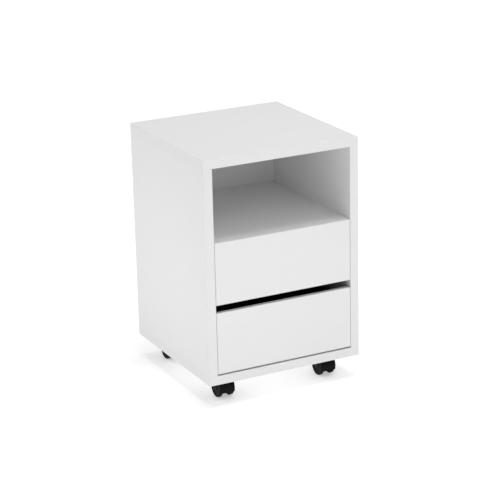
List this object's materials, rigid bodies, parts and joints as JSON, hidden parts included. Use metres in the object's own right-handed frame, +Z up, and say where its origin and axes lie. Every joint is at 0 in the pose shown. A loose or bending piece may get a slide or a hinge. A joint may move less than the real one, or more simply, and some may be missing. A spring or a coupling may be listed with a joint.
{
  "type": "rolling pedestal cabinet",
  "caption": "White melamine desk pedestal on twin-wheel casters, with an open niche above handleless drawers that slide on roller runners.",
  "frame": {"origin": "on the floor under the middle of the cabinet, at the bottom centre of its bounding box", "axes": "+Z up, +X towards the right-hand side seen from the front, -Y towards the front, the way the drawers open"},
  "size_m": [0.4, 0.4, 0.6],
  "materials": {
    "white_board": "smooth matt white melamine with edge banding",
    "black_drawer_board": "smooth matt black melamine",
    "black_hardboard": "thin lacquered black hardboard",
    "white_hardboard": "thin lacquered white hardboard",
    "beech_dowel": "bare fluted beech",
    "coated_rail": "black epoxy coating, satin",
    "zinc_steel": "bright zinc plating",
    "roller_nylon": "natural white nylon",
    "caster_housing_plastic": "fine moulded black",
    "caster_wheel_plastic": "smooth hard black"
  },
  "bodies": {
    "carcass": {"top_panel": "white_board", "bottom_panel": "white_board", "left_side_panel": "white_board", "right_side_panel": "white_board", "niche_shelf": "white_board", "back_panel": "white_hardboard", "carcass_dowels": "beech_dowel", "cabinet_rail_screws": "zinc_steel", "caster_plates": "zinc_steel", "caster_kingpins": "zinc_steel", "caster_screws": "zinc_steel", "upper_left_cabinet_rail": "coated_rail", "upper_right_cabinet_rail": "coated_rail", "lower_left_cabinet_rail": "coated_rail", "lower_right_cabinet_rail": "coated_rail"},
    "upper_drawer": {"upper_drawer_front": "white_board", "upper_drawer_left_side": "black_drawer_board", "upper_drawer_right_side": "black_drawer_board", "upper_drawer_back": "black_drawer_board", "upper_drawer_bottom": "black_hardboard", "upper_drawer_dowels": "beech_dowel", "upper_drawer_cam_fittings": "zinc_steel", "upper_drawer_screws": "zinc_steel", "upper_drawer_left_rail": "coated_rail", "upper_drawer_right_rail": "coated_rail"},
    "upper_left_cabinet_roller": {"upper_left_cabinet_roller": "roller_nylon"},
    "upper_left_drawer_roller": {"upper_left_drawer_roller": "roller_nylon"},
    "upper_right_cabinet_roller": {"upper_right_cabinet_roller": "roller_nylon"},
    "upper_right_drawer_roller": {"upper_right_drawer_roller": "roller_nylon"},
    "lower_drawer": {"lower_drawer_front": "white_board", "lower_drawer_left_side": "black_drawer_board", "lower_drawer_right_side": "black_drawer_board", "lower_drawer_back": "black_drawer_board", "lower_drawer_bottom": "black_hardboard", "lower_drawer_dowels": "beech_dowel", "lower_drawer_cam_fittings": "zinc_steel", "lower_drawer_screws": "zinc_steel", "lower_drawer_left_rail": "coated_rail", "lower_drawer_right_rail": "coated_rail"},
    "lower_left_cabinet_roller": {"lower_left_cabinet_roller": "roller_nylon"},
    "lower_left_drawer_roller": {"lower_left_drawer_roller": "roller_nylon"},
    "lower_right_cabinet_roller": {"lower_right_cabinet_roller": "roller_nylon"},
    "lower_right_drawer_roller": {"lower_right_drawer_roller": "roller_nylon"},
    "front_left_caster": {"front_left_caster_housing": "caster_housing_plastic", "front_left_caster_axle": "zinc_steel"},
    "front_left_caster_left_wheel": {"front_left_caster_left_wheel": "caster_wheel_plastic"},
    "front_left_caster_right_wheel": {"front_left_caster_right_wheel": "caster_wheel_plastic"},
    "front_right_caster": {"front_right_caster_housing": "caster_housing_plastic", "front_right_caster_axle": "zinc_steel"},
    "front_right_caster_left_wheel": {"front_right_caster_left_wheel": "caster_wheel_plastic"},
    "front_right_caster_right_wheel": {"front_right_caster_right_wheel": "caster_wheel_plastic"},
    "rear_left_caster": {"rear_left_caster_housing": "caster_housing_plastic", "rear_left_caster_axle": "zinc_steel"},
    "rear_left_caster_left_wheel": {"rear_left_caster_left_wheel": "caster_wheel_plastic"},
    "rear_left_caster_right_wheel": {"rear_left_caster_right_wheel": "caster_wheel_plastic"},
    "rear_right_caster": {"rear_right_caster_housing": "caster_housing_plastic", "rear_right_caster_axle": "zinc_steel"},
    "rear_right_caster_left_wheel": {"rear_right_caster_left_wheel": "caster_wheel_plastic"},
    "rear_right_caster_right_wheel": {"rear_right_caster_right_wheel": "caster_wheel_plastic"}
  },
  "joints": [
    {"name": "upper_drawer_slide", "type": "slide", "parent": "carcass", "child": "upper_drawer", "axis": [0, -1, 0], "range_m": [0, 0.26]},
    {"name": "upper_left_cabinet_roller_spin", "type": "hinge", "parent": "carcass", "child": "upper_left_cabinet_roller", "pos_m": [-0.173, -0.174, 0.273], "axis": [1, 0, 0], "continuous": true},
    {"name": "upper_left_drawer_roller_spin", "type": "hinge", "parent": "upper_drawer", "child": "upper_left_drawer_roller", "pos_m": [-0.1705, 0.15, 0.2735], "axis": [1, 0, 0], "continuous": true},
    {"name": "upper_right_cabinet_roller_spin", "type": "hinge", "parent": "carcass", "child": "upper_right_cabinet_roller", "pos_m": [0.173, -0.174, 0.273], "axis": [1, 0, 0], "continuous": true},
    {"name": "upper_right_drawer_roller_spin", "type": "hinge", "parent": "upper_drawer", "child": "upper_right_drawer_roller", "pos_m": [0.1705, 0.15, 0.2735], "axis": [1, 0, 0], "continuous": true},
    {"name": "lower_drawer_slide", "type": "slide", "parent": "carcass", "child": "lower_drawer", "axis": [0, -1, 0], "range_m": [0, 0.26]},
    {"name": "lower_left_cabinet_roller_spin", "type": "hinge", "parent": "carcass", "child": "lower_left_cabinet_roller", "pos_m": [-0.173, -0.174, 0.104], "axis": [1, 0, 0], "continuous": true},
    {"name": "lower_left_drawer_roller_spin", "type": "hinge", "parent": "lower_drawer", "child": "lower_left_drawer_roller", "pos_m": [-0.1705, 0.15, 0.1045], "axis": [1, 0, 0], "continuous": true},
    {"name": "lower_right_cabinet_roller_spin", "type": "hinge", "parent": "carcass", "child": "lower_right_cabinet_roller", "pos_m": [0.173, -0.174, 0.104], "axis": [1, 0, 0], "continuous": true},
    {"name": "lower_right_drawer_roller_spin", "type": "hinge", "parent": "lower_drawer", "child": "lower_right_drawer_roller", "pos_m": [0.1705, 0.15, 0.1045], "axis": [1, 0, 0], "continuous": true},
    {"name": "front_left_caster_swivel", "type": "hinge", "parent": "carcass", "child": "front_left_caster", "pos_m": [-0.1365, -0.149, 0.055], "axis": [0, 0, 1], "continuous": true},
    {"name": "front_left_caster_left_wheel_spin", "type": "hinge", "parent": "front_left_caster", "child": "front_left_caster_left_wheel", "pos_m": [-0.1512, -0.137, 0.025], "axis": [1, 0, 0], "continuous": true},
    {"name": "front_left_caster_right_wheel_spin", "type": "hinge", "parent": "front_left_caster", "child": "front_left_caster_right_wheel", "pos_m": [-0.1218, -0.137, 0.025], "axis": [1, 0, 0], "continuous": true},
    {"name": "front_right_caster_swivel", "type": "hinge", "parent": "carcass", "child": "front_right_caster", "pos_m": [0.1365, -0.149, 0.055], "axis": [0, 0, 1], "continuous": true},
    {"name": "front_right_caster_left_wheel_spin", "type": "hinge", "parent": "front_right_caster", "child": "front_right_caster_left_wheel", "pos_m": [0.1218, -0.137, 0.025], "axis": [1, 0, 0], "continuous": true},
    {"name": "front_right_caster_right_wheel_spin", "type": "hinge", "parent": "front_right_caster", "child": "front_right_caster_right_wheel", "pos_m": [0.1512, -0.137, 0.025], "axis": [1, 0, 0], "continuous": true},
    {"name": "rear_left_caster_swivel", "type": "hinge", "parent": "carcass", "child": "rear_left_caster", "pos_m": [-0.1365, 0.1345, 0.055], "axis": [0, 0, 1], "continuous": true},
    {"name": "rear_left_caster_left_wheel_spin", "type": "hinge", "parent": "rear_left_caster", "child": "rear_left_caster_left_wheel", "pos_m": [-0.1512, 0.1465, 0.025], "axis": [1, 0, 0], "continuous": true},
    {"name": "rear_left_caster_right_wheel_spin", "type": "hinge", "parent": "rear_left_caster", "child": "rear_left_caster_right_wheel", "pos_m": [-0.1218, 0.1465, 0.025], "axis": [1, 0, 0], "continuous": true},
    {"name": "rear_right_caster_swivel", "type": "hinge", "parent": "carcass", "child": "rear_right_caster", "pos_m": [0.1365, 0.1345, 0.055], "axis": [0, 0, 1], "continuous": true},
    {"name": "rear_right_caster_left_wheel_spin", "type": "hinge", "parent": "rear_right_caster", "child": "rear_right_caster_left_wheel", "pos_m": [0.1218, 0.1465, 0.025], "axis": [1, 0, 0], "continuous": true},
    {"name": "rear_right_caster_right_wheel_spin", "type": "hinge", "parent": "rear_right_caster", "child": "rear_right_caster_right_wheel", "pos_m": [0.1512, 0.1465, 0.025], "axis": [1, 0, 0], "continuous": true}
  ],
  "couplings": [
    {"joint": "upper_left_cabinet_roller_spin", "follows": "upper_drawer_slide", "rad_per_m": 112.36},
    {"joint": "upper_left_drawer_roller_spin", "follows": "upper_drawer_slide", "rad_per_m": 106.38},
    {"joint": "upper_right_cabinet_roller_spin", "follows": "upper_drawer_slide", "rad_per_m": 112.36},
    {"joint": "upper_right_drawer_roller_spin", "follows": "upper_drawer_slide", "rad_per_m": 106.38},
    {"joint": "lower_left_cabinet_roller_spin", "follows": "lower_drawer_slide", "rad_per_m": 112.36},
    {"joint": "lower_left_drawer_roller_spin", "follows": "lower_drawer_slide", "rad_per_m": 106.38},
    {"joint": "lower_right_cabinet_roller_spin", "follows": "lower_drawer_slide", "rad_per_m": 112.36},
    {"joint": "lower_right_drawer_roller_spin", "follows": "lower_drawer_slide", "rad_per_m": 106.38}
  ]
}
